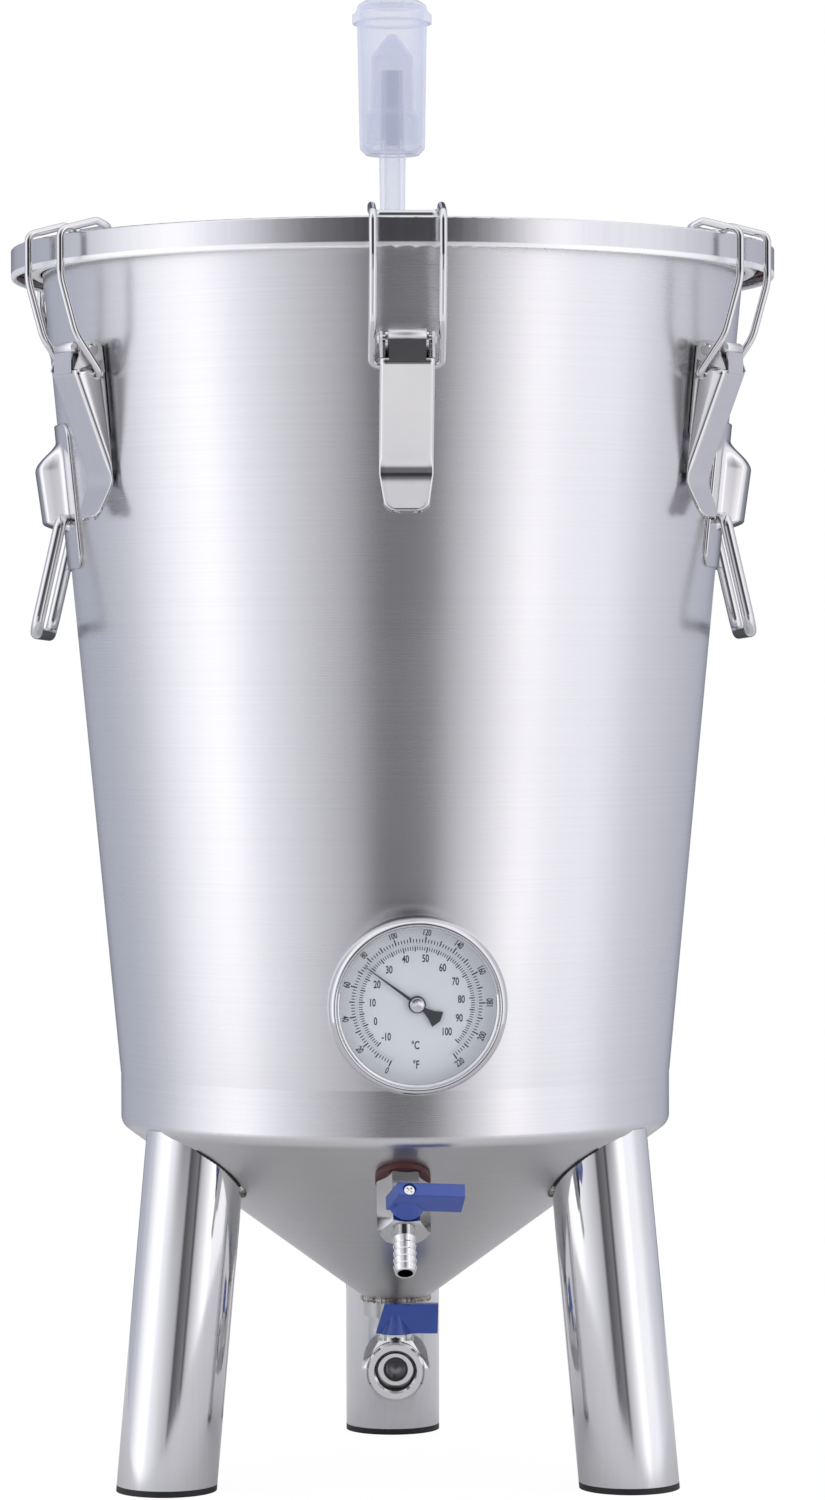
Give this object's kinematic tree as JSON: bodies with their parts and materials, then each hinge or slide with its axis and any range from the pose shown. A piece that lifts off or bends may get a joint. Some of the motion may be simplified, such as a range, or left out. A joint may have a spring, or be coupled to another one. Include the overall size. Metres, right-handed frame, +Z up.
{
  "type": "conical fermenter",
  "caption": "Tapered steel brewing vessel on splayed tube legs, with a bail-latched lid, airlock, dial thermometer, side handles and two ball valves.",
  "frame": {"origin": "on the floor under the tank's axis, centre of the footprint box", "axes": "+Z up along the tank's axis, -Y towards the front (thermometer and valves), +X to the right seen from the front"},
  "size_m": [0.373, 0.3902, 0.7196],
  "materials": {
    "brushed_steel": "brushed stainless",
    "satin_steel": "satin stainless",
    "polished_steel": "polished stainless",
    "silicone": "matt",
    "black_plastic": "matt",
    "blue_vinyl": "dipped vinyl",
    "clear_plastic": "clear moulded",
    "dial_white": "matt enamel",
    "pointer_black": "satin",
    "clear_glass": "clear",
    "ptfe": "smooth"
  },
  "bodies": {
    "tank": {"tank_wall": "brushed_steel", "tank_rim": "brushed_steel", "tank_cone": "satin_steel", "outlet_elbow": "satin_steel", "leg_left": "polished_steel", "leg_right": "polished_steel", "leg_rear": "polished_steel", "foot_cap_left": "black_plastic", "foot_cap_right": "black_plastic", "foot_cap_rear": "black_plastic", "lid": "brushed_steel", "lid_gasket": "silicone", "airlock_grommet": "silicone", "latch_bases": "polished_steel", "latch_pins": "polished_steel", "handle_bracket_left": "polished_steel", "handle_bracket_right": "polished_steel", "thermometer_stem": "polished_steel", "thermometer_case": "polished_steel", "thermometer_rim": "polished_steel", "thermometer_glass": "clear_glass", "thermometer_dial": "dial_white", "thermometer_washer": "silicone", "thermometer_locknut": "polished_steel", "racking_valve_body": "polished_steel", "racking_valve_seats": "ptfe", "racking_valve_gland": "polished_steel", "racking_barb": "polished_steel", "racking_valve_washer": "silicone", "racking_locknut": "polished_steel", "racking_arm": "polished_steel", "drain_valve_body": "polished_steel", "drain_valve_seats": "ptfe", "drain_valve_gland": "polished_steel"},
    "lever_1": {"latch_lever_1": "polished_steel"},
    "bail_1": {"latch_bail_1": "polished_steel"},
    "lever_2": {"latch_lever_2": "polished_steel"},
    "bail_2": {"latch_bail_2": "polished_steel"},
    "lever_3": {"latch_lever_3": "polished_steel"},
    "bail_3": {"latch_bail_3": "polished_steel"},
    "lever_4": {"latch_lever_4": "polished_steel"},
    "bail_4": {"latch_bail_4": "polished_steel"},
    "lever_5": {"latch_lever_5": "polished_steel"},
    "bail_5": {"latch_bail_5": "polished_steel"},
    "lever_6": {"latch_lever_6": "polished_steel"},
    "bail_6": {"latch_bail_6": "polished_steel"},
    "grip_left": {"handle_grip_left": "polished_steel"},
    "grip_right": {"handle_grip_right": "polished_steel"},
    "racking_tap": {"racking_valve_handle": "blue_vinyl", "racking_valve_stem": "polished_steel", "racking_valve_ball": "polished_steel", "racking_valve_screw": "polished_steel"},
    "drain_tap": {"drain_valve_handle": "blue_vinyl", "drain_valve_stem": "polished_steel", "drain_valve_ball": "polished_steel", "drain_valve_screw": "polished_steel"},
    "pointer": {"thermometer_pointer": "pointer_black"},
    "airlock": {"airlock_body": "clear_plastic"},
    "airlock_float": {"airlock_float": "clear_plastic"},
    "airlock_cap": {"airlock_cap": "clear_plastic"}
  },
  "joints": [
    {"name": "lever_1_swing", "type": "hinge", "parent": "tank", "child": "lever_1", "pos_m": [0.00698, -0.17386, 0.542], "axis": [-0.9992, -0.0401, 0], "range_deg": [0, 100]},
    {"name": "bail_1_swing", "type": "hinge", "parent": "lever_1", "child": "bail_1", "pos_m": [0.00686, -0.17086, 0.53], "axis": [-0.9992, -0.0401, 0], "range_deg": [-125.5, 0.5]},
    {"name": "lever_2_swing", "type": "hinge", "parent": "tank", "child": "lever_2", "pos_m": [0.15406, -0.08088, 0.542], "axis": [-0.4648, -0.8854, 0], "range_deg": [0, 100]},
    {"name": "bail_2_swing", "type": "hinge", "parent": "lever_2", "child": "bail_2", "pos_m": [0.1514, -0.07949, 0.53], "axis": [-0.4648, -0.8854, 0], "range_deg": [-125.5, 0.5]},
    {"name": "lever_3_swing", "type": "hinge", "parent": "tank", "child": "lever_3", "pos_m": [0.14708, 0.09298, 0.542], "axis": [0.5344, -0.8453, 0], "range_deg": [0, 100]},
    {"name": "bail_3_swing", "type": "hinge", "parent": "lever_3", "child": "bail_3", "pos_m": [0.14454, 0.09137, 0.53], "axis": [0.5344, -0.8453, 0], "range_deg": [-125.5, 0.5]},
    {"name": "lever_4_swing", "type": "hinge", "parent": "tank", "child": "lever_4", "pos_m": [-0.00698, 0.17386, 0.542], "axis": [0.9992, 0.0401, 0], "range_deg": [0, 100]},
    {"name": "bail_4_swing", "type": "hinge", "parent": "lever_4", "child": "bail_4", "pos_m": [-0.00686, 0.17086, 0.53], "axis": [0.9992, 0.0401, 0], "range_deg": [-125.5, 0.5]},
    {"name": "lever_5_swing", "type": "hinge", "parent": "tank", "child": "lever_5", "pos_m": [-0.15406, 0.08088, 0.542], "axis": [0.4648, 0.8854, 0], "range_deg": [0, 100]},
    {"name": "bail_5_swing", "type": "hinge", "parent": "lever_5", "child": "bail_5", "pos_m": [-0.1514, 0.07949, 0.53], "axis": [0.4648, 0.8854, 0], "range_deg": [-125.5, 0.5]},
    {"name": "lever_6_swing", "type": "hinge", "parent": "tank", "child": "lever_6", "pos_m": [-0.14708, -0.09298, 0.542], "axis": [-0.5344, 0.8453, 0], "range_deg": [0, 100]},
    {"name": "bail_6_swing", "type": "hinge", "parent": "lever_6", "child": "bail_6", "pos_m": [-0.14454, -0.09137, 0.53], "axis": [-0.5344, 0.8453, 0], "range_deg": [-125.5, 0.5]},
    {"name": "grip_left_swing", "type": "hinge", "parent": "tank", "child": "grip_left", "pos_m": [-0.1596, 0, 0.464], "axis": [0, 1, 0], "range_deg": [0, 100]},
    {"name": "grip_right_swing", "type": "hinge", "parent": "tank", "child": "grip_right", "pos_m": [0.1596, 0, 0.464], "axis": [0, -1, 0], "range_deg": [0, 100]},
    {"name": "racking_tap_turn", "type": "hinge", "parent": "tank", "child": "racking_tap", "pos_m": [0.00434, -0.12428, 0.13647], "axis": [-0.1065, 0.8012, -0.5889], "range_deg": [0, 90]},
    {"name": "drain_tap_turn", "type": "hinge", "parent": "tank", "child": "drain_tap", "pos_m": [0, -0.039, 0.0549], "axis": [0, 0, -1], "range_deg": [0, 90]},
    {"name": "pointer_turn", "type": "hinge", "parent": "tank", "child": "pointer", "pos_m": [0.01076, -0.15392, 0.23751], "axis": [0.0694, -0.9931, -0.0941], "range_deg": [-197.6, 102.4]},
    {"name": "airlock_lift", "type": "slide", "parent": "tank", "child": "airlock", "axis": [0, 0, 1], "range_m": [0, 0.06]},
    {"name": "float_rise", "type": "slide", "parent": "airlock", "child": "airlock_float", "axis": [0, 0, 1], "range_m": [0, 0.009]},
    {"name": "cap_lift", "type": "slide", "parent": "airlock", "child": "airlock_cap", "axis": [0, 0, 1], "range_m": [0, 0.03]}
  ],
  "couplings": [
    {"joint": "bail_1_swing", "follows": "lever_1_swing", "ratio": -1.25},
    {"joint": "bail_2_swing", "follows": "lever_2_swing", "ratio": -1.25},
    {"joint": "bail_3_swing", "follows": "lever_3_swing", "ratio": -1.25},
    {"joint": "bail_4_swing", "follows": "lever_4_swing", "ratio": -1.25},
    {"joint": "bail_5_swing", "follows": "lever_5_swing", "ratio": -1.25},
    {"joint": "bail_6_swing", "follows": "lever_6_swing", "ratio": -1.25}
  ]
}
